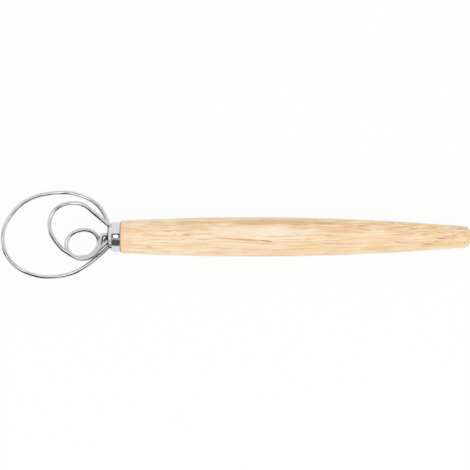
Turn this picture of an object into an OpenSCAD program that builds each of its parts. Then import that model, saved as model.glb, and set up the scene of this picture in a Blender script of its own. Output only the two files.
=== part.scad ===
// Dough whisk: three bent steel wires, seated in a turned plug that is held in a
// polished ferrule, on a turned wooden handle. It lies with +X towards the butt
// of the handle, +Y across the flat of the head and +Z up, on the belly of the wood.

/* [Handle] */
// Length of the wood behind the ferrule
handle_len = 252.9; // [220:0.1:300]
// Diameter of the belly, the thickest place
belly_d = 28.4; // [26:0.1:36]
// Distance from the front face of the wood to the belly
belly_at = 102.5; // [80:0.5:125]
// Step from the ferrule out to the edge of the wood
wood_proud = 0.15; // [0:0.05:0.6]
// Rise of the rounded front edge of the wood
front_rise = 0.8; // [0.3:0.05:1.2]
// Length of the rounded front edge of the wood
front_round = 4.7; // [2:0.1:8]
// Diameter at the tail, where the butt starts to round
tail_d = 15.7; // [12:0.1:20]
// Length of the rounded butt
butt_round = 4.9; // [3:0.1:8]
// Diameter of the flat on the end of the butt
butt_flat_d = 4; // [2:0.1:8]
// How full the front is, from the rounded edge to the belly
front_power = 2.3; // [1.8:0.05:2.8]
// How full the taper is from the belly to the tail
taper_power = 1.8; // [1.5:0.05:2.4]

/* [Ferrule] */
// Outer diameter of the ferrule
ferrule_d = 22; // [19:0.1:25]
// Length of the ferrule, from its front face to the wood
ferrule_len = 8.3; // [7:0.1:14]
// Wall of the ferrule
ferrule_wall = 0.9; // [0.6:0.05:1.2]
// Drop from the outside of the ferrule to its front face
shoulder_drop = 3; // [2.4:0.1:3.6]
// Length of the cone behind the front face
cone_len = 2.3; // [2:0.1:3]
// Drop from the middle of the crowned barrel to its ends
crown = 0.25; // [0.1:0.05:0.4]
// Width of the lip between the front face's edge and the mouth
lip = 0.5; // [0.3:0.05:1]

/* [Plug] */
// How far the plug's face stands out in front of the ferrule
plug_proud = 0.8; // [0.4:0.05:1.5]
// Small bevel on the rim of the plug's face
plug_bevel = 0.3; // [0.1:0.05:0.5]
// Distance from the ferrule's front face to the back of the flange
flange_back = 5.5; // [5:0.1:6.5]
// Floor left behind the wires in the flange
seat_floor = 1; // [0.6:0.1:1.5]
// Root diameter of the barbed stud
stud_d = 5; // [4:0.1:7]
// Height of one barb
barb_h = 0.5; // [0.3:0.05:0.8]
// Pitch of the barbs
barb_pitch = 3; // [2:0.1:4]
// Number of barbs
barb_count = 7; // [4:1:9]
// Length of the pointed end of the stud
stud_tip = 3; // [2:0.1:4]

/* [Wires] */
// Diameter of the wire
wire_d = 3; // [2.4:0.1:3.6]
// Air between two wires that lie side by side or cross
wire_gap = 0.1; // [0.06:0.01:0.14]
// Distance from the upper pair of wires to the inside of the ferrule
root_edge = 0.8; // [0.5:0.1:1.5]
// How far below the axis the outer loop's lower end is seated
outer_seat_drop = 4.6; // [4.2:0.1:5.4]
// How far below the axis the middle loop's lower end is seated
middle_seat_drop = 0.8; // [0.4:0.1:1.2]
// How far above the axis the ring's shank is seated
shank_rise = 1.5; // [1:0.1:2]

/* [Outer loop] */
// Distance from the ferrule's front face to the tip of the loop
outer_reach = 77.2; // [66:0.1:92]
// Distance from the axis up to the crown of the loop
outer_rise = 32.1; // [28:0.1:38]
// Distance from the axis down to the foot of the loop
outer_drop = 29.1; // [26:0.1:36]

/* [Middle loop] */
// Distance from the ferrule's front face to the tip of the loop
middle_reach = 43; // [38:0.1:54]
// Distance from the axis up to the crown of the loop
middle_rise = 24.4; // [20:0.1:26]
// Distance from the axis down to the foot of the loop
middle_drop = 16.1; // [15:0.1:20]

/* [Inner ring] */
// Width of the ring along the handle's axis, between wire centres
ring_w = 23.4; // [20:0.1:28]
// Height of the ring across the axis, between wire centres
ring_h = 20; // [18:0.1:24]
// Distance from the ferrule's front face to the near side of the ring
ring_at = 7.7; // [7.5:0.1:10]
// Distance from the axis up to the top of the ring
ring_rise = 5.1; // [3:0.1:7]
// Radius of the bend at the foot of the shank
shank_bend = 3; // [2.6:0.1:3.4]

/* [Welds] */
// Diameter of a tack weld
bead_d = 3.3; // [2.8:0.1:3.8]
// Distance down the lower legs to the tack between them
tack_at = 12; // [9:0.5:14]

/* [Fits] */
// Clearance round the wires, the plug and the tenon
fit = 0.08; // [0.08:0.01:0.12]
// Air left in the bore past the point of the stud
bore_spare = 1; // [0.5:0.1:3]

/* [Hidden] */
$fn = 96;
wire_sides = 16;
// A wire has one ring of points for each such turn, in degrees
turn_step = 9;
// Steps in a rounded edge, in the ferrule's crown, and ahead of and behind the belly
edge_steps = 12;
crown_steps = 8;
front_steps = 9;
back_steps = 16;

// Places on the axis, counted from the ferrule's front face towards the butt
wood_front = ferrule_len;
wood_end = wood_front + handle_len;
belly_x = wood_front + belly_at;
tail_x = wood_end - butt_round;
wire_seat = flange_back - seat_floor;
stud_end = flange_back + fit + barb_pitch * barb_count + stud_tip;

// Radii
ferrule_r = ferrule_d / 2;
ferrule_in_r = ferrule_r - ferrule_wall;
mouth_r = ferrule_r - shoulder_drop - lip;
wood_edge_r = ferrule_r + wood_proud;
wood_front_r = wood_edge_r + front_rise;
belly_r = belly_d / 2;
tail_r = tail_d / 2;
barb_r = stud_d / 2 + barb_h;

// Layers of the wires: the outer loop lies under the middle one
pitch = wire_d + wire_gap;
outer_z = -pitch / 2;
middle_z = pitch / 2;

// The lowest point and the middle of the part's box set its origin
origin_x = (wood_end - outer_reach - wire_d / 2) / 2;
origin_y = (outer_rise - outer_drop) / 2;
origin_z = -belly_r;

// Both lower legs run straight at this angle to the axis
leg_angle = 45;
leg_across = [-sin(leg_angle), cos(leg_angle)];
leg_along = [cos(leg_angle), sin(leg_angle)];
// Where the outer loop's leg bends to its seat, and how far down it is straight
leg_top = [1, -outer_seat_drop - 1.1];
leg_len = 6.4;
root_y = ferrule_in_r - wire_d / 2 - root_edge;

function leg_point(along, across) = leg_top - leg_along * along + leg_across * across;

// A station is [x, y, heading, z]. A loop's far stations are shares of its reach and
// of its rise or drop.
function station(p, heading, z) = [p[0], p[1], heading, z];
function far(reach, share, y, heading, z) = [-reach * share, y, heading, z];

outer_stations = [
    station([wire_seat, root_y], 180, outer_z),
    station([2.4, root_y], 180, outer_z),
    station([-0.7, root_y + 1.8], 107, outer_z),
    far(outer_reach, 0.171, outer_rise * 0.83, 151, outer_z),
    far(outer_reach, 0.436, outer_rise, 180, outer_z),
    far(outer_reach, 0.86, outer_rise * 0.654, 225, outer_z),
    far(outer_reach, 1, outer_drop * -0.034, 270, outer_z),
    far(outer_reach, 0.925, outer_drop * -0.6, 311, outer_z),
    far(outer_reach, 0.557, -outer_drop, 360, outer_z),
    far(outer_reach, 0.207, outer_drop * -0.704, 397, outer_z),
    station(leg_point(leg_len, 0), 405, outer_z),
    station(leg_point(0, 0), 405, outer_z),
    station([wire_seat, -outer_seat_drop], 360, outer_z)
];

middle_stations = [
    station([wire_seat, root_y], 180, middle_z),
    station([2.2, root_y + 0.1], 165, middle_z),
    station([-1, root_y + 1.4], 139, middle_z),
    far(middle_reach, 0.326, middle_rise * 0.828, 139, middle_z),
    far(middle_reach, 0.581, middle_rise, 180, middle_z),
    far(middle_reach, 0.905, middle_rise * 0.8, 227, middle_z),
    far(middle_reach, 1, middle_rise * 0.36, 270, middle_z),
    far(middle_reach, 0.835, middle_drop * -0.404, 311, middle_z),
    far(middle_reach, 0.614, middle_drop * -0.85, 330, middle_z),
    far(middle_reach, 0.456, -middle_drop, 360, middle_z),
    station(leg_point(11.6, pitch), 405, middle_z),
    station(leg_point(-2, pitch), 405, middle_z),
    station([wire_seat, -middle_seat_drop], 360, middle_z)
];

// The ring starts as a shank, bends down, passes under the middle loop's leg and
// winds round once, and its tail dives under its own first strand.
ring_far = ring_at + ring_w;
ring_low = ring_h - ring_rise;
function ring_z(share) = outer_z - pitch * share;
ring_stations = [
    station([wire_seat, shank_rise], 180, outer_z),
    station([-2, shank_rise], 180, outer_z),
    station([-2 - shank_bend, shank_rise - shank_bend], 270, outer_z),
    station([-ring_at - ring_w * 0.26, -ring_low * 0.913], 202, outer_z),
    station([-ring_at - ring_w * 0.59, -ring_low], 180, outer_z),
    station([-ring_far, -ring_low * 0.4], 90, ring_z(0.25)),
    station([-ring_at - ring_w * 0.43, ring_rise], 0, ring_z(0.55)),
    station([-ring_at, -ring_low * 0.255], -90, ring_z(0.85)),
    station([-ring_at - ring_w * 0.245, -ring_low * 0.872], -150, ring_z(1))
];

function turned_by(v, a) = [v[0] * cos(a) - v[1] * sin(a), v[0] * sin(a) + v[1] * cos(a)];
function facing(a) = [cos(a), sin(a)];
function flat(s) = [s[0], s[1]];

// Two arcs that touch both stations' headings meet at this point
function meeting(a, b) =
    let (t1 = facing(a[2]), t2 = facing(b[2]), v = flat(b) - flat(a))
    let (c = 2 * (1 - t1 * t2), w = v * (t1 + t2), vv = v * v)
    let (d = c < 1e-6 ? vv / (2 * w) : (-w + sqrt(w * w + c * vv)) / c)
    (flat(a) + flat(b) + d * (t1 - t2)) / 2;

// Angle that an arc turns through from p, where it faces t, to q
function arc_turn(p, t, q) =
    let (v = q - p)
    2 * atan2(t[0] * v[1] - t[1] * v[0], t * v);
function arc_len(p, t, q) =
    let (half = arc_turn(p, t, q) / 2)
    abs(half) < 0.01 ? norm(q - p) : norm(q - p) * (half * PI / 180) / sin(half);

// Points of an arc after its first, each as [place, direction]
function arc_points(p, t, q, z, slope) =
    let (turn = arc_turn(p, t, q), n = max(1, ceil(abs(turn) / turn_step)))
    let (chord = norm(q - p), run = arc_len(p, t, q))
    [for (i = [1:n])
        let (part = turn * i / n)
        let (reach = abs(turn) < 0.02 ? chord * i / n : chord * sin(part / 2) / sin(turn / 2))
        let (at = p + reach * turned_by(t, part / 2), way = turned_by(t, part))
        let (d = [way[0], way[1], slope])
        [[at[0], at[1], z + slope * run * i / n], d / norm(d)]];

function stretch(a, b) =
    let (m = meeting(a, b), t = facing(a[2]), mt = turned_by(t, arc_turn(flat(a), t, m)))
    let (run1 = arc_len(flat(a), t, m), run2 = arc_len(m, mt, flat(b)))
    let (slope = (b[3] - a[3]) / (run1 + run2))
    concat(
        arc_points(flat(a), t, m, a[3], slope),
        arc_points(m, mt, flat(b), a[3] + slope * run1, slope)
    );

// The whole centre line, with both ends carried on by extra
function route(s, extra = 0) =
    let (first = [cos(s[0][2]), sin(s[0][2]), 0], start = [s[0][0], s[0][1], s[0][3]])
    let (path = [for (i = [0:len(s) - 2]) each stretch(s[i], s[i + 1])])
    let (last = path[len(path) - 1])
    concat(
        [[start - first * extra, first]],
        [for (i = [0:len(path) - 2]) path[i]],
        [[last[0] + last[1] * extra, last[1]]]
    );

function ring_points(at, way, r) =
    let (side = cross([0, 0, 1], way), u = side / norm(side), w = cross(way, u))
    [for (k = [0:wire_sides - 1])
        let (a = 360 * k / wire_sides)
        at + r * (cos(a) * u + sin(a) * w)];

module tube(path, d) {
    n = wire_sides;
    rows = len(path);
    points = [for (p = path) each ring_points(p[0], p[1], d / 2)];
    sides = [for (i = [0:rows - 2], k = [0:n - 1])
        let (a = i * n + k, b = i * n + (k + 1) % n)
        each [[a, b + n, b], [a, a + n, b + n]]];
    first = [[for (k = [0:n - 1]) k]];
    last = [[for (k = [n - 1:-1:0]) (rows - 1) * n + k]];
    polyhedron(points = points, faces = concat(sides, first, last), convexity = 8);
}

// Stations i to j of a list
function some(s, i, j) = [for (k = [i:j]) s[k]];

// The seated ends of the three wires, larger than the wires by the fit. The upper
// pair shares one slot.
module wire_holes() {
    hole_d = wire_d + 2 * fit;
    slot_front = -plug_proud - wire_d;
    translate([slot_front, root_y - wire_d / 2, outer_z])
        cube([wire_seat - slot_front, wire_d, pitch]);
    tube(route(some(outer_stations, 0, 3), fit), hole_d);
    tube(route(some(middle_stations, 0, 3), fit), hole_d);
    tube(route(some(outer_stations, 10, 12), fit), hole_d);
    tube(route(some(middle_stations, 10, 12), fit), hole_d);
    tube(route(some(ring_stations, 0, 2), fit), hole_d);
}

// An outline of [radius, place on the axis], moved inwards by d with mitred corners
function normal(a, b) = let (v = b - a) [-v[1], v[0]] / norm(v);
function inset(s, d) =
    [for (i = [0:len(s) - 1])
        let (before = i == 0 ? normal(s[0], s[1]) : normal(s[i - 1], s[i]))
        let (after = i == len(s) - 1 ? before : normal(s[i], s[i + 1]))
        s[i] + d * (before + after) / (1 + before * after)];

function backwards(s) = [for (i = [len(s) - 1:-1:0]) s[i]];

// Outside of the ferrule, from its mouth back to the place given
function crown_r(x) =
    let (half = (wood_front - cone_len) / 2, off = (x - cone_len - half) / half)
    ferrule_r - crown * off * off;
function cup(end_x) = concat(
    [[mouth_r, 0], [ferrule_r - shoulder_drop, 0]],
    [for (i = [0:crown_steps])
        let (x = cone_len + (end_x - cone_len) * i / crown_steps)
        [crown_r(x), x]]
);

module turned(outline) {
    rotate([0, 90, 0])
        rotate_extrude()
            polygon(outline);
}

// Moves the axis with the ferrule's front face on the origin to its place in the part
module placed() {
    translate([-origin_x, -origin_y, -origin_z])
        children();
}

// Outline of the wood behind its front face
function front_edge(i) =
    let (a = 90 * i / edge_steps)
    [wood_edge_r + front_rise * sin(a), wood_front + front_round * (1 - cos(a))];
function belly_front(i) =
    let (t = 1 - i / front_steps)
    [belly_r - (belly_r - wood_front_r) * pow(t, front_power), belly_x - (belly_at - front_round) * t];
function taper_r(x) = belly_r - (belly_r - tail_r) * pow((x - belly_x) / (tail_x - belly_x), taper_power);
function belly_back(i) =
    let (x = belly_x + (tail_x - belly_x) * i / back_steps)
    [taper_r(x), x];
function butt_edge(i) =
    let (a = 90 * i / edge_steps, x = tail_x + butt_round * sin(a), flat_r = butt_flat_d / 2)
    [flat_r + (taper_r(x) - flat_r) * cos(a), x];

module handle() {
    tenon_r = ferrule_in_r - crown - fit;
    tenon_front = flange_back + fit;
    bore_r = barb_r + fit;
    bore_end = stud_end + bore_spare;
    // A quarter turn puts the seam of the wood's surface at its side
    color([0.95, 0.84, 0.66])
        placed()
            rotate([90, 0, 0])
                turned(concat(
                    [[bore_r, tenon_front], [tenon_r, tenon_front], [tenon_r, wood_front]],
                    [for (i = [0:edge_steps]) front_edge(i)],
                    [for (i = [1:front_steps]) belly_front(i)],
                    [for (i = [1:back_steps]) belly_back(i)],
                    [for (i = [1:edge_steps]) butt_edge(i)],
                    [[0, wood_end], [0, bore_end], [bore_r, bore_end - bore_r / 2]]
                ));
}

module ferrule() {
    color([0.82, 0.83, 0.86])
        placed()
            difference() {
                turned(concat(cup(wood_front), backwards(inset(cup(wood_front), ferrule_wall))));
                wire_holes();
            }
}

module wire_plug() {
    neck_r = mouth_r - fit;
    nest = inset(cup(flange_back), ferrule_wall + fit);
    stud_r = stud_d / 2;
    barbs = [for (i = [0:barb_count - 1])
        let (x = flange_back + fit + barb_pitch * i)
        each [[stud_r, x], [barb_r, x + barb_pitch * 0.75], [stud_r, x + barb_pitch * 0.85]]];
    color([0.72, 0.73, 0.75])
        placed()
            difference() {
                turned(concat(
                    [[0, -plug_proud], [neck_r - plug_bevel, -plug_proud]],
                    [[neck_r, plug_bevel - plug_proud], [neck_r, nest[0][1]]],
                    some(nest, 1, len(nest) - 1),
                    [[stud_r, flange_back]],
                    barbs,
                    [[stud_r, stud_end - stud_tip], [0, stud_end]]
                ));
                wire_holes();
            }
}

module bent_wire(stations) {
    color([0.8, 0.81, 0.83])
        placed()
            tube(route(stations), wire_d);
}

module outer_loop() {
    bent_wire(outer_stations);
}

module middle_loop() {
    bent_wire(middle_stations);
}

module inner_ring() {
    bent_wire(ring_stations);
}

// One tack lies between the two lower legs, and one between the ring's first strand
// and its tail
module weld_beads() {
    hollow_d = wire_d + 2 * fit;
    tail = ring_stations[len(ring_stations) - 1];
    color([0.6, 0.6, 0.62])
        placed() {
            difference() {
                translate([each leg_point(tack_at, pitch / 2), 0])
                    sphere(d = bead_d);
                tube(route(some(outer_stations, 9, 11)), hollow_d);
                tube(route(some(middle_stations, 9, 11)), hollow_d);
            }
            difference() {
                translate([tail[0], tail[1], (outer_z + tail[3]) / 2])
                    sphere(d = bead_d);
                tube(route(some(ring_stations, 2, 4)), hollow_d);
                tube(route(some(ring_stations, 7, 8), bead_d), hollow_d);
            }
        }
}

handle();
ferrule();
wire_plug();
outer_loop();
middle_loop();
inner_ring();
weld_beads();
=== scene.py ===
import math

import bmesh
import bpy
from mathutils import Matrix, Vector, noise


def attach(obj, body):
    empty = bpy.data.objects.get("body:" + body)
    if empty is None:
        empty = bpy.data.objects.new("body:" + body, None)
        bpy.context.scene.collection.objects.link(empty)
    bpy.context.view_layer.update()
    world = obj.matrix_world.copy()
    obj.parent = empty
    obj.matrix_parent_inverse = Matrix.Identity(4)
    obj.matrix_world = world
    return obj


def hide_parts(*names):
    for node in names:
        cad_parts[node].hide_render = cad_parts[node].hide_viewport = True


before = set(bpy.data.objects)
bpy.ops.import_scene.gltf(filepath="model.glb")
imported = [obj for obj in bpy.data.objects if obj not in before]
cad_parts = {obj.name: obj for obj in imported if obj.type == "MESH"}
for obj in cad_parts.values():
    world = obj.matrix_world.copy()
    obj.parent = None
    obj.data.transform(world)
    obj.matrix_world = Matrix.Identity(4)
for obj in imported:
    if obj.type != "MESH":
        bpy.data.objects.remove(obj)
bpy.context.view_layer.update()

scene = bpy.context.scene
scene.view_settings.view_transform = "Standard"

# Lengths are in millimetres on the whisk's own axis, with x = 0 at the ferrule's
# front face and +x towards the butt. place() turns them into metres in the part's frame.
MM = 0.001
ORIGIN = Vector((91.25, 1.5, -14.2))


def place(x, y, z):
    return (Vector((x, y, z)) - ORIGIN) * MM


# Sizes that this script shares with part.scad
FERRULE_R = 11.0
FERRULE_LEN = 8.3
WALL = 0.9
SHOULDER_DROP = 3.0
CONE_LEN = 2.3
CROWN = 0.25
LIP = 0.5
MOUTH_R = FERRULE_R - SHOULDER_DROP - LIP
FLANGE_BACK = 5.5
PLUG_PROUD = 0.8
FIT = 0.08
WIRE_D = 3.0
PITCH = 3.1
WIRE_SEAT = 4.5
OUTER_Z = -PITCH / 2
MIDDLE_Z = PITCH / 2
ROOT_Y = 7.8
OUTER_SEAT_Y, MIDDLE_SEAT_Y, SHANK_Y = -4.6, -0.8, 1.5
LEG_ANGLE = math.radians(45)
LEG_TOP = (1.0, -5.7)
TACK_AT = 12.0


# Centre lines of the wires

# A station is (x, y, heading in degrees, z), and a loop's far stations are shares of
# its reach and of its rise or drop. All are those of part.scad, except that the ring's
# shank bends a little tighter here, 0.6 mm further out.

def leg_point(along, across):
    c, s = math.cos(LEG_ANGLE), math.sin(LEG_ANGLE)
    return (LEG_TOP[0] - c * along - s * across, LEG_TOP[1] - s * along + c * across)


OUTER_REACH, OUTER_RISE, OUTER_DROP = 77.2, 32.1, 29.1
OUTER = [
    (WIRE_SEAT, ROOT_Y, 180, OUTER_Z),
    (2.4, ROOT_Y, 180, OUTER_Z),
    (-0.7, ROOT_Y + 1.8, 107, OUTER_Z),
    (-OUTER_REACH * 0.171, OUTER_RISE * 0.83, 151, OUTER_Z),
    (-OUTER_REACH * 0.436, OUTER_RISE, 180, OUTER_Z),
    (-OUTER_REACH * 0.86, OUTER_RISE * 0.654, 225, OUTER_Z),
    (-OUTER_REACH, -OUTER_DROP * 0.034, 270, OUTER_Z),
    (-OUTER_REACH * 0.925, -OUTER_DROP * 0.6, 311, OUTER_Z),
    (-OUTER_REACH * 0.557, -OUTER_DROP, 360, OUTER_Z),
    (-OUTER_REACH * 0.207, -OUTER_DROP * 0.704, 397, OUTER_Z),
    (*leg_point(6.4, 0), 405, OUTER_Z),
    (*leg_point(0, 0), 405, OUTER_Z),
    (WIRE_SEAT, OUTER_SEAT_Y, 360, OUTER_Z),
]

MIDDLE_REACH, MIDDLE_RISE, MIDDLE_DROP = 43.0, 24.4, 16.1
MIDDLE = [
    (WIRE_SEAT, ROOT_Y, 180, MIDDLE_Z),
    (2.2, ROOT_Y + 0.1, 165, MIDDLE_Z),
    (-1.0, ROOT_Y + 1.4, 139, MIDDLE_Z),
    (-MIDDLE_REACH * 0.326, MIDDLE_RISE * 0.828, 139, MIDDLE_Z),
    (-MIDDLE_REACH * 0.581, MIDDLE_RISE, 180, MIDDLE_Z),
    (-MIDDLE_REACH * 0.905, MIDDLE_RISE * 0.8, 227, MIDDLE_Z),
    (-MIDDLE_REACH, MIDDLE_RISE * 0.36, 270, MIDDLE_Z),
    (-MIDDLE_REACH * 0.835, -MIDDLE_DROP * 0.404, 311, MIDDLE_Z),
    (-MIDDLE_REACH * 0.614, -MIDDLE_DROP * 0.85, 330, MIDDLE_Z),
    (-MIDDLE_REACH * 0.456, -MIDDLE_DROP, 360, MIDDLE_Z),
    (*leg_point(11.6, PITCH), 405, MIDDLE_Z),
    (*leg_point(-2, PITCH), 405, MIDDLE_Z),
    (WIRE_SEAT, MIDDLE_SEAT_Y, 360, MIDDLE_Z),
]

RING_W, RING_H, RING_AT, RING_RISE = 23.4, 20.0, 7.7, 5.1
RING_LOW = RING_H - RING_RISE
RING_FAR = RING_AT + RING_W


def ring_z(share):
    """The ring winds down by one pitch on its way to its tail."""
    return OUTER_Z - PITCH * share


RING = [
    (WIRE_SEAT, SHANK_Y, 180, OUTER_Z),
    (-3.4, SHANK_Y, 180, OUTER_Z),
    (-5.6, -0.8, 268, OUTER_Z),
    (-RING_AT - RING_W * 0.26, -RING_LOW * 0.913, 202, OUTER_Z),
    (-RING_AT - RING_W * 0.59, -RING_LOW, 180, OUTER_Z),
    (-RING_FAR, -RING_LOW * 0.4, 90, ring_z(0.25)),
    (-RING_AT - RING_W * 0.43, RING_RISE, 0, ring_z(0.55)),
    (-RING_AT, -RING_LOW * 0.255, -90, ring_z(0.85)),
    (-RING_AT - RING_W * 0.245, -RING_LOW * 0.872, -150, ring_z(1)),
]

# A wire's rows of points lie at most this turn and this length apart
TURN_STEP, LENGTH_STEP = math.radians(3), 2.5
# An arc that turns by less than this, in radians, counts as straight, and two headings
# are one when twice the cosine between them falls short of 2 by less than this
STRAIGHT, SAME_HEADING = 4e-4, 1e-6


def turned(v, a):
    c, s = math.cos(a), math.sin(a)
    return Vector((v[0] * c - v[1] * s, v[0] * s + v[1] * c))


def facing(station):
    return turned((1, 0), math.radians(station[2]))


def arc_turn(p, t, q):
    """Angle that an arc turns through from p, where it faces t, to q."""
    v = q - p
    return 2 * math.atan2(t[0] * v[1] - t[1] * v[0], t.dot(v))


def arc_len(p, t, q):
    turn, chord = arc_turn(p, t, q), (q - p).length
    return chord if abs(turn) < STRAIGHT else chord * (turn / 2) / math.sin(turn / 2)


def arc_points(p, t, q, z, slope):
    """Points of an arc after its first, each as (place, direction). It climbs from z."""
    turn, chord, run = arc_turn(p, t, q), (q - p).length, arc_len(p, t, q)
    n = max(1, math.ceil(abs(turn) / TURN_STEP), math.ceil(chord / LENGTH_STEP))
    out = []
    for i in range(1, n + 1):
        part = turn * i / n
        if abs(turn) < STRAIGHT:
            reach = chord * i / n
        else:
            reach = chord * math.sin(part / 2) / math.sin(turn / 2)
        at, way = p + reach * turned(t, part / 2), turned(t, part)
        out.append((Vector((at[0], at[1], z + slope * run * i / n)),
                    Vector((way[0], way[1], slope)).normalized()))
    return out


def meeting(a, b):
    """Where two arcs that keep both stations' headings touch."""
    p, q = Vector(a[:2]), Vector(b[:2])
    t1, t2 = facing(a), facing(b)
    v = q - p
    c, w, vv = 2 * (1 - t1.dot(t2)), v.dot(t1 + t2), v.dot(v)
    parallel = c < SAME_HEADING
    d = vv / (2 * w) if parallel else (-w + math.sqrt(w * w + c * vv)) / c
    return (p + q + d * (t1 - t2)) / 2


def stretch(a, b):
    """The points from one station to the next, along two arcs."""
    m, p, q, t = meeting(a, b), Vector(a[:2]), Vector(b[:2]), facing(a)
    mt = turned(t, arc_turn(p, t, m))
    run1, run2 = arc_len(p, t, m), arc_len(m, mt, q)
    slope = (b[3] - a[3]) / (run1 + run2)
    return (arc_points(p, t, m, a[3], slope)
            + arc_points(m, mt, q, a[3] + slope * run1, slope))


def route(stations, extra=0.0):
    """Points and directions along the stations, both ends carried on by extra."""
    first = stations[0]
    path = [(Vector((*first[:2], first[3])), Vector((*facing(first), 0)))]
    for a, b in zip(stations, stations[1:]):
        path += stretch(a, b)
    path[0] = (path[0][0] - path[0][1] * extra, path[0][1])
    path[-1] = (path[-1][0] + path[-1][1] * extra, path[-1][1])
    return path


# Mesh helpers

WIRE_SIDES, SEAT_SIDES = 32, 48
# Edges sharper than this stay sharp, in degrees
WIRE_EDGE, WOOD_EDGE = 40, 30


def new_object(name, bm):
    mesh = bpy.data.meshes.new(name)
    bm.to_mesh(mesh)
    bm.free()
    obj = bpy.data.objects.new(name, mesh)
    scene.collection.objects.link(obj)
    return obj


def smooth_by_angle(obj, degrees):
    obj.data.shade_smooth()
    obj.data.set_sharp_from_angle(angle=math.radians(degrees))


def circle(sides):
    return [2 * math.pi * k / sides for k in range(sides)]


def ring_of(at, way, r, sides):
    side = Vector((0, 0, 1)).cross(way).normalized()
    up = way.cross(side)
    return [at + r * (math.cos(a) * side + math.sin(a) * up) for a in circle(sides)]


def bevelled(path, r, tip):
    """Rows of (place, direction, radius), with a bevel at both ends, tip wide."""
    rows = [(p, t, r) for p, t in path]
    if tip:
        (p0, t0), (p1, t1) = path[0], path[-1]
        rows[0] = (p0 + t0 * tip, t0, r)
        rows[-1] = (p1 - t1 * tip, t1, r)
        rows = [(p0, t0, r - tip)] + rows + [(p1, t1, r - tip)]
    return rows


def tube(name, path, d, sides=WIRE_SIDES, tip=0.0):
    """A wire along the path. Its UV map has the length in metres and the turn."""
    rows = bevelled(path, d / 2, tip)
    bm = bmesh.new()
    uv = bm.loops.layers.uv.new("along")
    rings, lengths, total = [], [], 0.0
    for i, (p, t, r) in enumerate(rows):
        if i:
            total += (p - rows[i - 1][0]).length * MM
        lengths.append(total)
        rings.append([bm.verts.new(place(*q)) for q in ring_of(p, t, r, sides)])
    for i in range(len(rings) - 1):
        for k in range(sides):
            n = (k + 1) % sides
            f = bm.faces.new((rings[i][k], rings[i][n], rings[i + 1][n], rings[i + 1][k]))
            corners = ((i, k), (i, k + 1), (i + 1, k + 1), (i + 1, k))
            for loop, (u, v) in zip(f.loops, corners):
                loop[uv].uv = (lengths[u], v / sides)
    bm.faces.new(list(reversed(rings[0])))
    bm.faces.new(rings[-1])
    bmesh.ops.recalc_face_normals(bm, faces=bm.faces)
    obj = new_object(name, bm)
    smooth_by_angle(obj, WIRE_EDGE)
    return obj


def lathe(name, outline, sides):
    """Turns (radius, x) points about the axis. An outline that doesn't start and end on
    the axis is closed on itself."""
    bm = bmesh.new()
    rings = []
    for r, x in outline:
        angles = circle(sides) if r else [0.0]
        rings.append([bm.verts.new(place(x, r * math.sin(a), r * math.cos(a)))
                      for a in angles])
    pairs = list(zip(rings, rings[1:]))
    if outline[0][0] and outline[-1][0]:
        pairs.append((rings[-1], rings[0]))
    for a, b in pairs:
        for k in range(sides):
            n = (k + 1) % sides
            if len(a) == 1:
                bm.faces.new((a[0], b[n], b[k]))
            elif len(b) == 1:
                bm.faces.new((a[k], a[n], b[0]))
            else:
                bm.faces.new((a[k], a[n], b[n], b[k]))
    bmesh.ops.recalc_face_normals(bm, faces=bm.faces)
    return new_object(name, bm)


def inset(outline, d):
    """The outline moved inwards by d, with mitred corners."""
    pts = [Vector((x, r)) for r, x in outline]
    sides = [(b - a).normalized() for a, b in zip(pts, pts[1:])]
    normals = [Vector((s[1], -s[0])) for s in sides]
    out = []
    for i, p in enumerate(pts):
        before, after = normals[max(i - 1, 0)], normals[min(i, len(normals) - 1)]
        q = p + d * (before + after) / (1 + before.dot(after))
        out.append((q[1], q[0]))
    return out


def cut(obj, cutters):
    """Takes the cutters out of the object, and deletes them."""
    for c in cutters:
        mod = obj.modifiers.new("cut", "BOOLEAN")
        mod.operation, mod.object, mod.solver = "DIFFERENCE", c, "EXACT"
    graph = bpy.context.evaluated_depsgraph_get()
    mesh = bpy.data.meshes.new_from_object(obj.evaluated_get(graph))
    obj.modifiers.clear()
    old, obj.data = obj.data, mesh
    mesh.name = obj.name
    bpy.data.meshes.remove(old)
    for c in cutters:
        bpy.data.meshes.remove(c.data)


# Shader helpers

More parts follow.
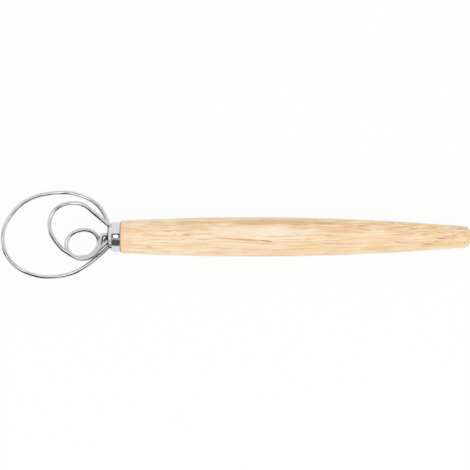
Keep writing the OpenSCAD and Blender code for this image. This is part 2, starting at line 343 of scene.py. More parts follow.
class Graph:
    """Short calls for the nodes of one tree."""

    def __init__(self, tree):
        self.tree = tree
        tree.nodes.clear()

    def add(self, kind, inputs=None, **props):
        node = self.tree.nodes.new(kind)
        for k, v in props.items():
            setattr(node, k, v)
        for k, v in (inputs or {}).items():
            self.put(node.inputs[k], v)
        return node

    def put(self, socket, value):
        if isinstance(value, bpy.types.NodeSocket):
            self.tree.links.new(value, socket)
        elif value is not None:
            socket.default_value = value

    def math(self, op, a, b=None, c=None):
        return self.add("ShaderNodeMath", {0: a, 1: b, 2: c}, operation=op).outputs[0]

    def affine(self, value, scale, offset):
        return self.math("MULTIPLY_ADD", value, scale, offset)

    def product(self, first, *others):
        for other in others:
            first = self.math("MULTIPLY", first, other)
        return first

    def mix(self, fac, a, b):
        """Blends two colours."""
        node = self.add("ShaderNodeMix", data_type="RGBA")
        for i, v in ((0, fac), (6, a), (7, b)):
            self.put(node.inputs[i], (*v, 1) if isinstance(v, tuple) else v)
        return node.outputs[2]

    def blend(self, fac, a, b):
        """Blends two numbers."""
        node = self.add("ShaderNodeMix", data_type="FLOAT")
        for i, v in ((0, fac), (2, a), (3, b)):
            self.put(node.inputs[i], v)
        return node.outputs[0]

    def step(self, value, lo, hi, out_lo=0.0, out_hi=1.0):
        node = self.add("ShaderNodeMapRange", {0: value, 1: lo, 2: hi, 3: out_lo, 4: out_hi},
                        interpolation_type="SMOOTHSTEP")
        return node.outputs[0]

    def band(self, value, lo, hi, soft):
        rise = self.step(value, lo - soft, lo + soft)
        fall = self.step(value, hi - soft, hi + soft, 1.0, 0.0)
        return self.math("MULTIPLY", rise, fall)

    def vector(self, x, y, z):
        return self.add("ShaderNodeCombineXYZ", {0: x, 1: y, 2: z}).outputs[0]

    def scaled(self, coords, scales):
        return self.vector(*(self.math("MULTIPLY", v, s) for v, s in zip(coords, scales)))

    def combine(self, op, a, b):
        return self.add("ShaderNodeVectorMath", {0: a, 1: b}, operation=op).outputs[0]

    def noise(self, vector, scale=1.0, detail=2.0, rough=0.5):
        node = self.add("ShaderNodeTexNoise", {"Vector": vector, "Scale": scale,
                                               "Detail": detail, "Roughness": rough})
        return node.outputs[0]

    def cloud(self, scale, detail, rough):
        """Noise through the object, whose scale counts per metre."""
        at = self.add("ShaderNodeTexCoord").outputs["Object"]
        return self.noise(at, scale, detail, rough)

    def ramp(self, fac, stops):
        node = self.add("ShaderNodeValToRGB", {0: fac})
        ends = node.color_ramp.elements
        while len(ends) < len(stops):
            ends.new(0.5)
        for e, (at, colour) in zip(ends, stops):
            e.position, e.color = at, (*colour, 1)
        return node.outputs[0]

    def bump(self, height, strength, distance, normal=None):
        """A bump, whose distance is in metres."""
        return self.add("ShaderNodeBump", {"Height": height, "Strength": strength,
                                           "Distance": distance, "Normal": normal}).outputs[0]


def srgb(r, g, b):
    return tuple(c / 255 / 12.92 if c <= 10 else ((c / 255 + 0.055) / 1.055) ** 2.4
                 for c in (r, g, b))


def material(name):
    mat = bpy.data.materials.new(name)
    mat.use_nodes = True
    g = Graph(mat.node_tree)
    shader = g.add("ShaderNodeBsdfPrincipled")
    g.add("ShaderNodeOutputMaterial", {0: shader.outputs[0]})
    return mat, g, shader


def metal(name, share=1.0):
    mat, g, shader = material(name)
    shader.inputs["Metallic"].default_value = share
    return mat, g, shader


def surface(g, shader, colour, roughness, normal):
    for socket, value in (("Base Color", colour), ("Roughness", roughness),
                          ("Normal", normal)):
        g.put(shader.inputs[socket], value)


def axis_coords(g):
    """x in the part's frame, y and z from the whisk's axis, in millimetres."""
    at = g.add("ShaderNodeTexCoord").outputs["Object"]
    x, y, z = g.add("ShaderNodeSeparateXYZ", {0: at}).outputs
    return (g.math("MULTIPLY", x, 1 / MM),
            g.affine(y, 1 / MM, ORIGIN[1]),
            g.affine(z, 1 / MM, ORIGIN[2]))


# Wood

# Each noise of the grain: scale along and across the fibres, detail, roughness, seed
TINT = (0.014, 0.11, 2.0, 0.5, 3.0)
HUE = (0.03, 0.20, 2.0, 0.6, 63.0)
BROAD = (0.03, 0.42, 3.0, 0.6, 11.0)
PALE = (0.025, 1.3, 3.0, 0.6, 27.0)
FINE = (0.035, 1.3, 3.0, 0.65, 19.0)
FLECK = (0.085, 1.05, 2.0, 0.5, 41.0)
MARK_EDGE = (0.12, 0.8, 2.0, 0.5, 53.0)
# The fibres' section is longer in depth than in width
DEPTH_SCALE = 0.5
# The fibres wander by 2 mm either way, lean by this slope past x = 90 in the part's
# frame, and the growth rings lean in depth
WANDER, WANDER_SCALES = 4.0, (0.012, 0.05, 0.05)
LEAN, LEAN_START, LEAN_RANGE = 0.05, 90.0, (90.0, 170.0)
RING_TILT = 0.4

WOOD_TONES = [(0.30, (247, 208, 158)), (0.46, (250, 220, 178)),
              (0.58, (253, 231, 198)), (0.72, (255, 240, 216))]
# A layer comes in where its noise goes from the first number to the second, up to the
# third, with its colour. These are patches a little pinker or yellower than the rest.
PINK_LAYER = (0.52, 0.66, 0.55, (249, 208, 168))
YELLOW_LAYER = (0.46, 0.34, 0.55, (251, 226, 168))
# Fibre streaks, broad and fine, dark and pale, and short dark flecks
BROAD_LAYER = (0.50, 0.70, 0.60, (240, 194, 140))
PALE_LAYER = (0.48, 0.62, 0.80, (255, 243, 214))
FINE_LAYER = (0.50, 0.64, 0.90, (233, 184, 130))
FLECK_LAYER = (0.64, 0.76, 0.80, (196, 146, 96))
# Growth rings: their width and how far the tint shifts them, in millimetres, how
# suddenly each darkens, and the strength and colour of its end
YEAR_WIDTH, YEAR_SPREAD, YEAR_POWER = 2.9, 7.0, 4.0
YEAR_STRENGTH, YEAR_TONE = 0.45, (236, 186, 130)

# A bump's strength, and its height in metres
WOOD_BUMP = (0.25, 0.0002)
# A thin lacquer, and a dull grey veil at the turned flanks
WOOD_FINISH = {"Coat Weight": 0.12, "Coat Roughness": 0.25, "Sheen Weight": 0.25,
               "Sheen Roughness": 0.35, "Sheen Tint": (0.60, 0.68, 0.80, 1)}

# Where the wood starts, in the part's frame, and the shade painted into the groove there
SEAM_X = FERRULE_LEN - ORIGIN[0]
GROOVE_SHADE_FROM, GROOVE_SHADE_TO, GROOVE_SHADE_STRENGTH, GROOVE_SHADE_TONE = 1.0, 0.2, 0.7, (132, 92, 60)

# Marks fade out between these depths, and their edges are ragged and soft by this share
MARK_FADE, MARK_RAGGED, MARK_SOFT = (-3.0, 1.0), 1.2, (1.1, 0.1)
# Marks on the side that is seen, all but the last two of this piece of wood: x in the
# part's frame, y from the axis, half length, half width, slope, colour, strength
MARKS = [
    (-80.0, 0.0, 8.0, 16.0, 0.0, (250, 206, 152), 0.50),
    (20.0, 4.4, 52.0, 4.0, -0.01, (254, 240, 214), 0.70),
    (33.0, 10.5, 52.0, 1.9, -0.010, (232, 184, 132), 0.70),
    (12.0, 9.4, 17.0, 0.55, -0.004, (211, 154, 96), 0.75),
    (60.0, 9.9, 16.0, 0.5, -0.015, (214, 158, 104), 0.65),
    (30.0, -10.0, 70.0, 2.4, 0.0, (248, 210, 158), 0.40),
    (5.0, -1.8, 24.0, 0.55, -0.050, (214, 164, 104), 0.85),
    (22.4, -2.9, 4.6, 0.42, -0.05, (150, 94, 52), 0.90),
    (-39.0, 9.7, 5.0, 2.2, 0.0, (232, 194, 146), 0.60),
    (-30.0, 10.3, 14.0, 0.7, 0.03, (228, 178, 124), 0.60),
    (-62.5, 1.8, 6.0, 0.7, 0.0, (245, 190, 146), 0.65),
    (-70.5, 4.9, 6.5, 1.5, 0.0, (247, 196, 148), 0.65),
    (-59.4, -8.3, 5.5, 1.0, 0.0, (248, 194, 150), 0.60),
    (-60.1, -4.8, 5.5, 0.9, 0.0, (250, 230, 160), 0.60),
    (-49.0, 3.9, 4.5, 0.5, 0.0, (232, 176, 120), 0.75),
    (-35.2, 1.9, 4.5, 0.5, -0.02, (222, 160, 98), 0.85),
    (-23.3, -2.1, 4.0, 0.45, -0.05, (220, 160, 104), 0.75),
    (29.5, -9.6, 4.0, 0.5, 0.0, (230, 186, 112), 0.70),
    (67.7, -4.8, 3.0, 0.5, 0.0, (226, 176, 130), 0.60),
    (79.0, -10.1, 5.8, 0.8, 0.0, (246, 224, 140), 0.75),
    (75.0, -5.1, 4.5, 0.6, 0.0, (230, 172, 132), 0.70),
    (93.0, 5.4, 7.0, 0.6, -0.20, (222, 162, 112), 0.70),
    (95.0, 8.9, 9.0, 0.5, 0.10, (226, 168, 116), 0.60),
    (113.5, 5.2, 6.5, 1.6, 0.0, (246, 194, 150), 0.70),
    (116.5, -3.6, 3.0, 0.5, 0.0, (206, 146, 104), 0.75),
    (92.0, 1.6, 24.0, 2.0, 0.0, (253, 238, 206), 0.50),
    (136.1, 3.9, 6.2, 0.4, 0.0, (214, 166, 112), 0.65),
    (136.4, 1.8, 3.4, 0.6, 0.0, (236, 184, 146), 0.60),
    (138.5, -4.8, 6.0, 0.5, 0.02, (206, 152, 108), 0.75),
    (143.0, -0.3, 0.9, 0.45, 0.0, (208, 156, 118), 0.70),
    (145.0, -3.3, 2.6, 0.5, 0.12, (214, 168, 124), 0.65),
    (146.9, 3.3, 1.4, 0.4, 0.0, (196, 150, 110), 0.70),
    (149.0, -1.0, 5.4, 0.5, 0.09, (192, 132, 88), 0.85),
    (155.1, -5.4, 1.4, 0.5, 0.0, (214, 168, 124), 0.65),
    (156.6, -1.1, 1.3, 0.5, 0.0, (208, 162, 118), 0.70),
    (163.2, 6.1, 3.4, 0.45, -0.04, (198, 158, 122), 0.70),
    (166.4, 2.2, 1.8, 1.2, 0.0, (248, 186, 108), 0.80),
    (165.4, -4.0, 0.8, 0.6, 0.0, (190, 130, 96), 0.80),
    # The last two are greyish bands along the +y edge near the tail, which follow its taper:
    # painted shade along that edge
    (160.0, 7.7, 8.0, 0.7, -0.06, (206, 190, 168), 0.55),
    (167.0, 5.9, 1.8, 1.5, 0.0, (208, 200, 182), 0.50),
]


class Grain:
    """The fibres of the wood. They run along x, wander a little, and lean towards +y
    near the tail."""

    def __init__(self, g, x, y, z):
        self.g, self.x, self.z = g, x, z
        wander = g.noise(g.scaled((x, y, z), WANDER_SCALES))
        wander = g.affine(wander, WANDER, -WANDER / 2)
        lean = g.product(g.step(x, *LEAN_RANGE), g.affine(x, LEAN, -LEAN * LEAN_START))
        fibre_y = g.math("SUBTRACT", y, lean)
        self.ring = g.affine(z, RING_TILT, g.math("ADD", fibre_y, wander))

    def fibres(self, along, across, detail, rough, seed):
        g = self.g
        v = g.vector(g.affine(self.x, along, seed),
                     g.math("MULTIPLY", self.ring, across),
                     g.math("MULTIPLY", self.z, across * DEPTH_SCALE))
        return g.noise(v, 1.0, detail, rough)

    def growth(self, tint):
        """Each year's ring darkens slowly and ends at a sharp line."""
        g = self.g
        years = g.math("DIVIDE", g.affine(tint, YEAR_SPREAD, self.ring), YEAR_WIDTH)
        return g.math("POWER", g.math("FRACT", years), YEAR_POWER)


def layer(g, colour, fibres, lo, hi, strength, tone):
    return g.mix(g.step(fibres, lo, hi, 0.0, strength), colour, srgb(*tone))


def grain_colour(g, grain, fine, fleck):
    tint, hue = grain.fibres(*TINT), grain.fibres(*HUE)
    colour = g.ramp(tint, [(at, srgb(*tone)) for at, tone in WOOD_TONES])
    colour = layer(g, colour, hue, *PINK_LAYER)
    colour = layer(g, colour, hue, *YELLOW_LAYER)
    late = g.math("MULTIPLY", grain.growth(tint), YEAR_STRENGTH)
    colour = g.mix(late, colour, srgb(*YEAR_TONE))
    colour = layer(g, colour, grain.fibres(*BROAD), *BROAD_LAYER)
    colour = layer(g, colour, grain.fibres(*PALE), *PALE_LAYER)
    colour = layer(g, colour, fine, *FINE_LAYER)
    return layer(g, colour, fleck, *FLECK_LAYER)


def add_marks(g, colour, x, y, z, ragged):
    """Soft ellipses with a ragged edge, which fade out on the underside."""
    seen = g.step(z, *MARK_FADE)
    for mx, my, half, width, slope, tone, strength in MARKS:
        run = g.math("SUBTRACT", x, mx)
        along = g.math("DIVIDE", run, half)
        off = g.math("SUBTRACT", y, g.affine(run, slope, my))
        across = g.math("DIVIDE", off, width)
        d = g.math("ADD", g.product(along, along), g.product(across, across))
        d = g.affine(ragged, MARK_RAGGED, g.math("ADD", d, -MARK_RAGGED / 2))
        fac = g.product(g.step(d, *MARK_SOFT, 0.0, strength), seen)
        colour = g.mix(fac, colour, srgb(*tone))
    return colour


def wood_material():
    mat, g, shader = material("beech")
    x, y, z = axis_coords(g)
    grain = Grain(g, x, y, z)
    fine, fleck = grain.fibres(*FINE), grain.fibres(*FLECK)
    colour = grain_colour(g, grain, fine, fleck)
    colour = add_marks(g, colour, x, y, z, grain.fibres(*MARK_EDGE))
    # Painted shade: the wood darkens in the fine groove behind the ferrule, where shadow
    # falls
    groove_shade = g.step(x, SEAM_X + GROOVE_SHADE_FROM, SEAM_X + GROOVE_SHADE_TO, 0.0, GROOVE_SHADE_STRENGTH)
    colour = g.mix(groove_shade, colour, srgb(*GROOVE_SHADE_TONE))
    # Flecks are pores, and the fine dark streaks stand out a little
    height = g.affine(fleck, -0.6, g.math("MULTIPLY", fine, 0.4))
    surface(g, shader, colour, g.affine(fine, 0.12, 0.40), g.bump(height, *WOOD_BUMP))
    for socket, value in WOOD_FINISH.items():
        shader.inputs[socket].default_value = value
    return mat


# Metals

WIRE_GREY, WIRE_SMUDGE = (0.685, 0.685, 0.68), (0.5891, 0.5891, 0.5848)
FERRULE_GREY, FERRULE_HAZE = (0.735, 0.735, 0.75), (0.68, 0.68, 0.695)
PLUG_DARK, PLUG_GREY = (0.03, 0.03, 0.033), (0.09, 0.088, 0.085)
# Dark heat tint of the welds, darkened so far that on the root lump it serves as painted
# shade
WELD_TINT_AND_SHADE_TONES = [(0.3, (0.07, 0.06, 0.055)), (0.5, (0.16, 0.15, 0.145)),
              (0.7, (0.42, 0.41, 0.40))]
# Each metal's clouds: scale per metre, detail, roughness
WIRE_CLOUD, FERRULE_CLOUD = (160.0, 3.0, 0.55), (260.0, 3.0, 0.55)
PLUG_CLOUD, WELD_CLOUD = (300.0, 4.0, 0.6), (700.0, 4.0, 0.6)
# Where the clouds bring in the second colour, from 0 up to the last number
WIRE_SMUDGES, FERRULE_HAZES = (0.35, 0.65, 0.0, 0.4), (0.4, 0.7, 0.0, 0.35)
PLUG_SHINE = (0.35, 0.7)
# Noise along a wire: length of its features in metres, scale around it, detail, and
# for both the roughness
DRAWN_LINES, BENT_SECTION, NOISE_ROUGH = (0.011, 9.0, 3.0), (0.016, 0.9, 1.0), 0.6
# The ferrule's polishing marks run round it, and the plug is turned in fine grooves
POLISH_SCALES, GROOVE_TURNS = (7.0, 0.15, 0.15), 22.0
# Each bump's strength, and its height in metres
LINE_BUMP, SECTION_BUMP = (0.12, 0.00006), (0.5, 0.0008)
POLISH_BUMP, GROOVE_BUMP, WELD_BUMP = (0.05, 0.00003), (0.25, 0.00003), (0.5, 0.0002)


def wire_noise(g, length, across, detail):
    uv = g.add("ShaderNodeUVMap", uv_map="along").outputs[0]
    u, v, _ = g.add("ShaderNodeSeparateXYZ", {0: uv}).outputs
    turn = g.math("MULTIPLY", v, 2 * math.pi)
    around = g.vector(0.0, g.math("COSINE", turn), g.math("SINE", turn))
    around = g.combine("MULTIPLY", around, (0.0, across, across))
    run = g.vector(g.math("DIVIDE", u, length), 0.0, 0.0)
    return g.noise(g.combine("ADD", around, run), 1.0, detail, NOISE_ROUGH)


def wire_material():
    """Polished wire, with smudges and the fine lines that drawing left along it. Where
    it was bent, its section is a little uneven."""
    mat, g, shader = metal("wire_steel")
    drawn, section = wire_noise(g, *DRAWN_LINES), wire_noise(g, *BENT_SECTION)
    cloud = g.cloud(*WIRE_CLOUD)
    colour = g.mix(g.step(cloud, *WIRE_SMUDGES), WIRE_GREY, WIRE_SMUDGE)
    rough = g.affine(drawn, 0.16, g.affine(cloud, 0.06, 0.04))
    lines = g.bump(drawn, *LINE_BUMP)
    surface(g, shader, colour, rough, g.bump(section, *SECTION_BUMP, lines))
    return mat


def ferrule_material():
    # The haze of the fine polishing marks is the small share that isn't metal
    mat, g, shader = metal("polished_ferrule", 0.9)
    polish = g.noise(g.scaled(axis_coords(g), POLISH_SCALES))
    haze = g.step(g.cloud(*FERRULE_CLOUD), *FERRULE_HAZES)
    surface(g, shader, g.mix(haze, FERRULE_GREY, FERRULE_HAZE),
            g.affine(polish, 0.05, 0.055), g.bump(polish, *POLISH_BUMP))
    return mat


def plug_material():
    mat, g, shader = metal("turned_plug")
    _, y, z = axis_coords(g)
    radius = g.math("SQRT", g.math("ADD", g.product(y, y), g.product(z, z)))
    grooves = g.math("SINE", g.math("MULTIPLY", radius, GROOVE_TURNS))
    cloud = g.cloud(*PLUG_CLOUD)
    surface(g, shader, g.mix(g.step(cloud, *PLUG_SHINE), PLUG_DARK, PLUG_GREY),
            g.affine(cloud, 0.25, 0.30), g.bump(grooves, *GROOVE_BUMP))
    return mat


def weld_material():
    mat, g, shader = metal("weld")
    cloud = g.cloud(*WELD_CLOUD)
    # On the root lump these dark tones are painted shade
    surface(g, shader, g.ramp(cloud, WELD_TINT_AND_SHADE_TONES), g.affine(cloud, 0.3, 0.18),
            g.bump(cloud, *WELD_BUMP))
    return mat


# Ferrule

CROWN_STEPS, FERRULE_SIDES = 24, 160
# Width of the small rounded rim at the wood, and how close to their shared edge the
# cone and the crown both count
RIM, MEET = 0.12, 0.01
# A corner takes its outline's exact normal if the cosine to its face's is over this
NEAR = 0.985
CROWN_HALF = (FERRULE_LEN - CONE_LEN) / 2


def crown_r(x):
    off = (x - CONE_LEN - CROWN_HALF) / CROWN_HALF
    return FERRULE_R - CROWN * off * off


def cup():
    """The ferrule's outside as in part.scad, from its mouth to the wood."""
    places = [CONE_LEN + (FERRULE_LEN - CONE_LEN) * i / CROWN_STEPS
              for i in range(CROWN_STEPS + 1)]
    return ([(MOUTH_R, 0.0), (FERRULE_R - SHOULDER_DROP, 0.0)]
            + [(crown_r(x), x) for x in places])


def seat_cutters():
    """The wires' seats, larger than the wires by the fit."""
    d = WIRE_D + 2 * FIT
    runs = (OUTER[:4], MIDDLE[:4], OUTER[10:], MIDDLE[10:], RING[:2])
    cutters = [tube("seat", route(run, extra=FIT), d, SEAT_SIDES) for run in runs]
    bm = bmesh.new()
    bmesh.ops.create_cube(bm, size=1.0)
    front = -PLUG_PROUD - WIRE_D
    for v in bm.verts:
        v.co = place(WIRE_SEAT if v.co.x > 0 else front, ROOT_Y + WIRE_D * v.co.y,
                     OUTER_Z + PITCH * (v.co.z + 0.5))
    return cutters + [new_object("slot", bm)]


def outline_normals(x):
    """Normals of the ferrule's outside at x, as (radial, axial). The cone and the
    crown both have one where they meet."""
    found = []
    if x <= CONE_LEN + MEET:
        climb = crown_r(CONE_LEN) - FERRULE_R + SHOULDER_DROP
        found.append(Vector((CONE_LEN, -climb)).normalized())
    if x >= CONE_LEN - MEET:
        climb = -2 * CROWN * (x - CONE_LEN - CROWN_HALF) / CROWN_HALF ** 2
        found.append(Vector((1.0, -climb)).normalized())
    return found


def corner_normal(at, face):
    r = math.hypot(at.y, at.z)
    normal, best = face, NEAR
    for radial, axial in outline_normals(at.x):
        n = Vector((axial, radial * at.y / r, radial * at.z / r))
        if n.dot(face) > best:
            normal, best = n, n.dot(face)
    return tuple(normal)


def shade_ferrule(obj):
    """Gives the outside its exact normals, and leaves cut walls flat."""
    mesh = obj.data
    mesh.shade_smooth()
    normals = [None] * len(mesh.loops)
    for poly in mesh.polygons:
        for i in poly.loop_indices:
            at = mesh.vertices[mesh.loops[i].vertex_index].co / MM + ORIGIN
            normals[i] = corner_normal(at, poly.normal)
    mesh.normals_split_custom_set(normals)


def ferrule_piece():
    outside = cup()
    r, x = outside.pop()
    rim = [(crown_r(x - RIM), x - RIM), (r - RIM * 0.35, x - RIM * 0.25), (r - RIM, x)]
    inside = list(reversed(inset(cup(), WALL)))
    obj = lathe("ferrule_shell", outside + rim + inside, FERRULE_SIDES)
    cut(obj, seat_cutters())
    shade_ferrule(obj)
    return obj


# Handle

HANDLE_LEN = 252.9
HANDLE_END = FERRULE_LEN + HANDLE_LEN
HANDLE_SIDES, EDGE_STEPS, BODY_STEPS = 128, 24, 120
# The wood's edge at the ferrule, its rise, and where the rounded front ends
WOOD_EDGE_R, FRONT_RISE, FRONT_X = 11.15, 0.8, 13.0
FRONT_R = WOOD_EDGE_R + FRONT_RISE
BELLY_X, BELLY_R = 110.8, 14.2
TAIL_X, TAIL_R = HANDLE_END - 4.9, 7.85
FRONT_POWER, TAPER_POWER = 2.3, 1.8
TENON_R = FERRULE_R - WALL - CROWN - FIT
BORE_R, BORE_END = 3.08, 30.66
# The wood's front edge is eased, which leaves a fine groove behind the ferrule
EASE_LEN, EASE_DROP = 1.2, 0.8
# The butt's corner is a little fuller than in part.scad
BUTT_ROUND, BUTT_FLAT_R = 3.9, 4.2
BUTT_X = HANDLE_END - BUTT_ROUND


def wood_r(x):
    if x < BELLY_X:
        share = (BELLY_X - x) / (BELLY_X - FRONT_X)
        return BELLY_R - (BELLY_R - FRONT_R) * share ** FRONT_POWER
    share = (x - BELLY_X) / (TAIL_X - BELLY_X)
    return BELLY_R - (BELLY_R - TAIL_R) * share ** TAPER_POWER


def front_edge(a):
    run = (FRONT_X - FERRULE_LEN) * (1 - math.cos(a))
    eased = 1 - min(run / EASE_LEN, 1)
    drop = EASE_DROP * (1 - math.sqrt(1 - eased ** 2))
    return (WOOD_EDGE_R + FRONT_RISE * math.sin(a) - drop, FERRULE_LEN + run)


def butt_edge(a):
    x = BUTT_X + BUTT_ROUND * math.sin(a)
    return (BUTT_FLAT_R + (wood_r(x) - BUTT_FLAT_R) * math.cos(a), x)


def handle_piece():
    quarter = [math.pi / 2 * i / EDGE_STEPS for i in range(EDGE_STEPS + 1)]
    body = [FRONT_X + (BUTT_X - FRONT_X) * i / BODY_STEPS for i in range(1, BODY_STEPS + 1)]
    inside = [(0, BORE_END), (BORE_R, BORE_END - BORE_R / 2), (BORE_R, FLANGE_BACK + FIT),
              (TENON_R, FLANGE_BACK + FIT), (TENON_R, FERRULE_LEN)]
    outside = ([front_edge(a) for a in quarter] + [(wood_r(x), x) for x in body]
               + [butt_edge(a) for a in quarter[1:]] + [(0, HANDLE_END)])
    obj = lathe("handle_wood", inside + outside, HANDLE_SIDES)
    smooth_by_angle(obj, WOOD_EDGE)
    return obj


# Welds

RING_TAIL = RING[-1]
# Name, place, bearing in degrees, half sizes and seed
WELDS = (
    ("legs_weld", (*leg_point(TACK_AT, PITCH / 2), 0.0), 45, (1.9, 1.25, 1.35), 3.0),
    ("ring_weld", (*RING_TAIL[:2], (OUTER_Z + RING_TAIL[3]) / 2), 20, (1.7, 1.35, 1.2), 8.0),
    # The root lump is a dark piece where the wires' ends crowd together: painted shade
    # between them
    ("root_shade_lump", (-2.6, -1.9, -0.1), 62, (2.5, 1.05, 1.5), 5.0),
)
# Height and scale of a weld's large and small lumps
LUMPS, PITS = (0.16, 1.7), (0.05, 5.0)


def weld_piece(name, at, bearing, size, seed):
    """A small lump, longer along the wires, with an uneven skin. Most are weld beads; the one
    at the root is a dark lump of painted shade.
    """
    bm = bmesh.new()
    bmesh.ops.create_icosphere(bm, subdivisions=5, radius=1.0)
    turn = Matrix.Rotation(math.radians(bearing), 3, "Z")
    for v in bm.verts:
        n = v.co.normalized()
        lump = (1 + LUMPS[0] * noise.noise(n * LUMPS[1] + Vector((seed, 0, 0)))
                + PITS[0] * noise.noise(n * PITS[1] + Vector((0, seed, 0))))
        p = turn @ Vector((n.x * size[0], n.y * size[1], n.z * size[2])) * lump
        v.co = place(at[0] + p.x, at[1] + p.y, at[2] + p.z)
    obj = new_object(name, bm)
    obj.data.shade_smooth()
    return obj


# Pieces in place of the part's nodes

WIRE_TIP = 0.15
WIRES = (("outer_wire", OUTER, "outer_loop"), ("middle_wire", MIDDLE, "middle_loop"),
         ("ring_wire", RING, "inner_ring"))


def paint(obj, mat):
    obj.data.materials.clear()
    obj.data.materials.append(mat)


def dress(obj, mat, node):
    paint(obj, mat)
    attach(obj, "root")
    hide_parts(node)


def add_pieces():
    steel, weld = wire_material(), weld_material()
    for name, stations, node in WIRES:
        wire = tube(name, route(stations), WIRE_D, tip=WIRE_TIP)
        dress(wire, steel, node)
    # Weld beads, and the dark root lump that is painted shade
    for bead in WELDS:
        dress(weld_piece(*bead), weld, "weld_beads")
    dress(ferrule_piece(), ferrule_material(), "ferrule")
    dress(handle_piece(), wood_material(), "handle")
    paint(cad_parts["wire_plug"], plug_material())


# Floor, light and camera

FLOOR_SIZE, FLOOR_COLOUR, FLOOR_GLOW = 6.0, (0.97, 0.97, 0.97, 1), 0.90


def rays_of(g, *kinds):
    """1 for the rays of these kinds."""
    rays = g.add("ShaderNodeLightPath").outputs
    seen = rays[kinds[0]]
    for kind in kinds[1:]:
        seen = g.math("MAXIMUM", seen, rays[kind])
    return seen


def add_floor():
    """A pale floor, which keeps the shadow and glows softly for the camera and in
    metal."""
    bpy.ops.mesh.primitive_plane_add(size=FLOOR_SIZE, location=(0, 0, 0))
    floor = bpy.context.active_object
    floor.name = "floor"
    mat = bpy.data.materials.new("floor")
    mat.use_nodes = True
    g = Graph(mat.node_tree)
    diffuse = g.add("ShaderNodeBsdfDiffuse", {"Color": FLOOR_COLOUR})
    glow = g.add("ShaderNodeEmission", {"Color": (1, 1, 1, 1), "Strength": 1.0})
    seen = rays_of(g, "Is Camera Ray", "Is Glossy Ray", "Is Transmission Ray")
    share = g.math("MULTIPLY", seen, FLOOR_GLOW)
    both = g.add("ShaderNodeMixShader", {0: share, 1: diffuse.outputs[0], 2: glow.outputs[0]})
    g.add("ShaderNodeOutputMaterial", {0: both.outputs[0]})
    floor.data.materials.append(mat)


# The studio that metal mirrors, as brightness by direction. Directions are in degrees:
# tilt_x and tilt_y lean from straight up towards +x and +y, polar is the whole lean, and
# around is its bearing from -y towards +x. A band is (from, to, half of a soft edge).
DEGREES = 180 / math.pi
ROOM = 0.95
# The camera's dark surround over the whisk, a grey strip beside it, and the lamp in it
SURROUND_Y, SURROUND_X, SURROUND = (-9.0, 27.0, 2.5), (-30.0, 24.0, 6.0), 0.10
STRIP_Y, STRIP_X, STRIP = (-28.0, -9.0, 2.0), (-16.0, 10.0, 4.0), 0.26
LAMP_AT, LAMP_HALF, LAMP_EDGE, LAMP = (-2.5, 3.5), (12.0, 13.5), (1.2, 0.6), 2.0
# A dark panel on the near side, from its upper edge down to a lower edge that drops
# from 72 to 86 degrees between these bearings
PANEL_TOP, PANEL_LOW, PANEL_SOFT = (23.0, 27.0), (18.0, 38.0, 72.0, 86.0), 2.0
PANEL_LEFT, PANEL_RIGHT, PANEL = (-80.0, -68.0), (65.0, 35.0), 0.01
# The studio's light is a little blue
BLUE_SHARE = 1.03
# Light from all sides on what isn't polished, and what lies behind the whisk
AMBIENT, WHITE = (0.74, 0.74, 0.745), (1.0, 1.0, 1.0)


def lamp_area(g, tilt_x, tilt_y):
    across = [g.math("DIVIDE", g.math("SUBTRACT", tilt, at), half)
              for tilt, at, half in zip((tilt_x, tilt_y), LAMP_AT, LAMP_HALF)]
    square = g.math("ADD", *(g.product(v, v) for v in across))
    return g.step(square, *LAMP_EDGE)


def panel_area(g, polar, around):
    low = g.step(g.math("ABSOLUTE", around), *PANEL_LOW)
    above_low = g.step(g.math("SUBTRACT", low, polar), -PANEL_SOFT, PANEL_SOFT)
    return g.product(g.step(polar, *PANEL_TOP), above_low,
                     g.step(around, *PANEL_LEFT), g.step(around, *PANEL_RIGHT))


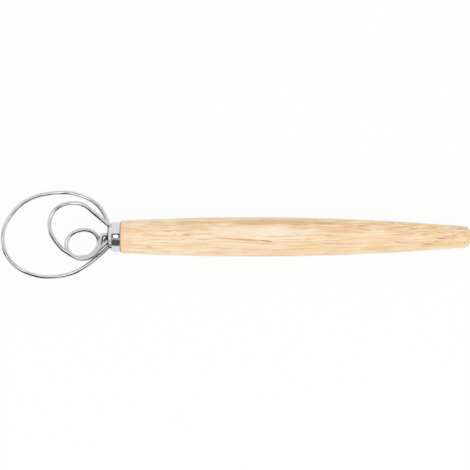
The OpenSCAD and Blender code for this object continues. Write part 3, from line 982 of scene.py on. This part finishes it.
def studio(g):
    way = g.add("ShaderNodeTexCoord").outputs["Generated"]
    dx, dy, dz = g.add("ShaderNodeSeparateXYZ", {0: way}).outputs
    tilt_x = g.math("MULTIPLY", g.math("ARCTAN2", dx, dz), DEGREES)
    tilt_y = g.math("MULTIPLY", g.math("ARCTAN2", dy, dz), DEGREES)
    polar = g.math("MULTIPLY", g.math("ARCCOSINE", dz), DEGREES)
    near = g.math("MULTIPLY", dy, -1.0)
    around = g.math("MULTIPLY", g.math("ARCTAN2", dx, near), DEGREES)
    surround = g.product(g.band(tilt_y, *SURROUND_Y), g.band(tilt_x, *SURROUND_X))
    strip = g.product(g.band(tilt_y, *STRIP_Y), g.band(tilt_x, *STRIP_X))
    value = g.blend(surround, ROOM, SURROUND)
    value = g.blend(strip, value, STRIP)
    value = g.blend(lamp_area(g, tilt_x, tilt_y), value, LAMP)
    value = g.blend(panel_area(g, polar, around), value, PANEL)
    blue = g.math("MULTIPLY", value, BLUE_SHARE)
    return g.add("ShaderNodeCombineColor", {0: value, 1: value, 2: blue}).outputs[0]


def add_world():
    world = bpy.data.worlds.new("studio")
    scene.world = world
    world.use_nodes = True
    g = Graph(world.node_tree)
    colour = g.mix(rays_of(g, "Is Glossy Ray"), AMBIENT, studio(g))
    plain = rays_of(g, "Is Camera Ray", "Is Transmission Ray")
    back = g.add("ShaderNodeBackground", {0: g.mix(plain, colour, WHITE), 1: 1.0})
    g.add("ShaderNodeOutputWorld", {0: back.outputs[0]})
    world.cycles.sampling_method = "NONE"


LAMP_SIZE, LAMP_WATTS, LAMP_PLACE = 1.4, 7.6, (0.1, -0.35, 1.45)
# The camera looks straight down
LENS, SENSOR, CLIP_END, CAMERA_PLACE = 169.3, 36.0, 50.0, (0.0, -0.0001, 1.6142)


def add_lamp():
    data = bpy.data.lights.new("soft_top", "AREA")
    data.shape, data.size, data.energy = "SQUARE", LAMP_SIZE, LAMP_WATTS
    lamp = bpy.data.objects.new("soft_top", data)
    lamp.location = LAMP_PLACE
    lamp.rotation_euler = (-Vector(LAMP_PLACE)).to_track_quat("-Z", "Y").to_euler()
    lamp.visible_glossy = False
    scene.collection.objects.link(lamp)


def add_camera():
    data = bpy.data.cameras.new("camera")
    data.lens, data.sensor_width, data.clip_end = LENS, SENSOR, CLIP_END
    camera = bpy.data.objects.new("camera", data)
    camera.location = CAMERA_PLACE
    scene.collection.objects.link(camera)
    scene.camera = camera


add_pieces()
add_floor()
add_world()
add_lamp()
add_camera()
